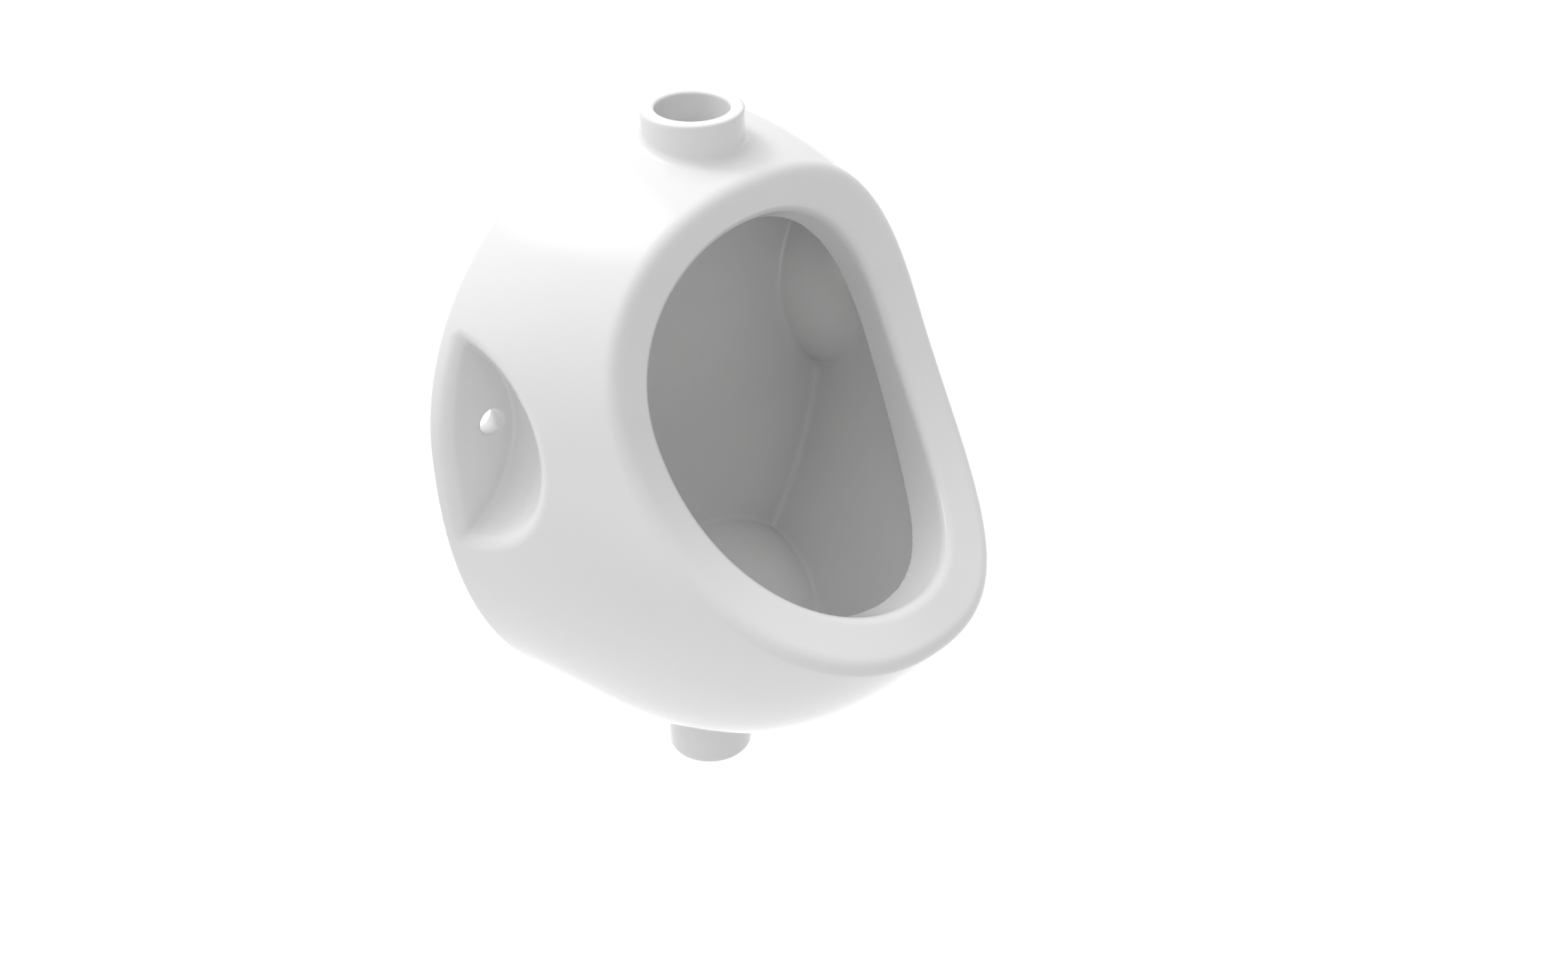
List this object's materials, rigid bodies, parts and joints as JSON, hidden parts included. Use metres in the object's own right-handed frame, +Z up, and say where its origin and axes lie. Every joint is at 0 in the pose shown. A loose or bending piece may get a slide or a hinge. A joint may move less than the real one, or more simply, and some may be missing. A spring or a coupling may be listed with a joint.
{
  "type": "wall hung urinal",
  "caption": "Wall hung bowl urinal in white glazed ceramic with an egg-shaped mouth, a top flush inlet with spreader, side pockets for the wall screws, a lift-out strainer and a bottom outlet.",
  "frame": {"origin": "on the plane of the building's wall, midway between the two fixing holes", "axes": "+Z up, +Y into the wall, so the user stands on the -Y side, +X to the user's right"},
  "size_m": [0.2884, 0.2203, 0.4076],
  "materials": {
    "glaze": "gloss white glaze",
    "spreader_metal": "polished chrome plate",
    "steel": "satin stainless steel",
    "seal_rubber": "matt black rubber"
  },
  "bodies": {
    "urinal": {"ceramic_body": "glaze", "spreader_body": "spreader_metal", "spreader_gasket": "seal_rubber", "spreader_rings": "seal_rubber", "spreader_deflector": "spreader_metal", "spreader_screw": "steel", "strainer_seal": "seal_rubber"},
    "strainer": {"strainer_plate": "steel", "strainer_knob": "steel"}
  },
  "joints": [
    {"name": "strainer_lift", "type": "slide", "parent": "urinal", "child": "strainer", "axis": [0, 0, 1], "range_m": [0, 0.06]}
  ]
}
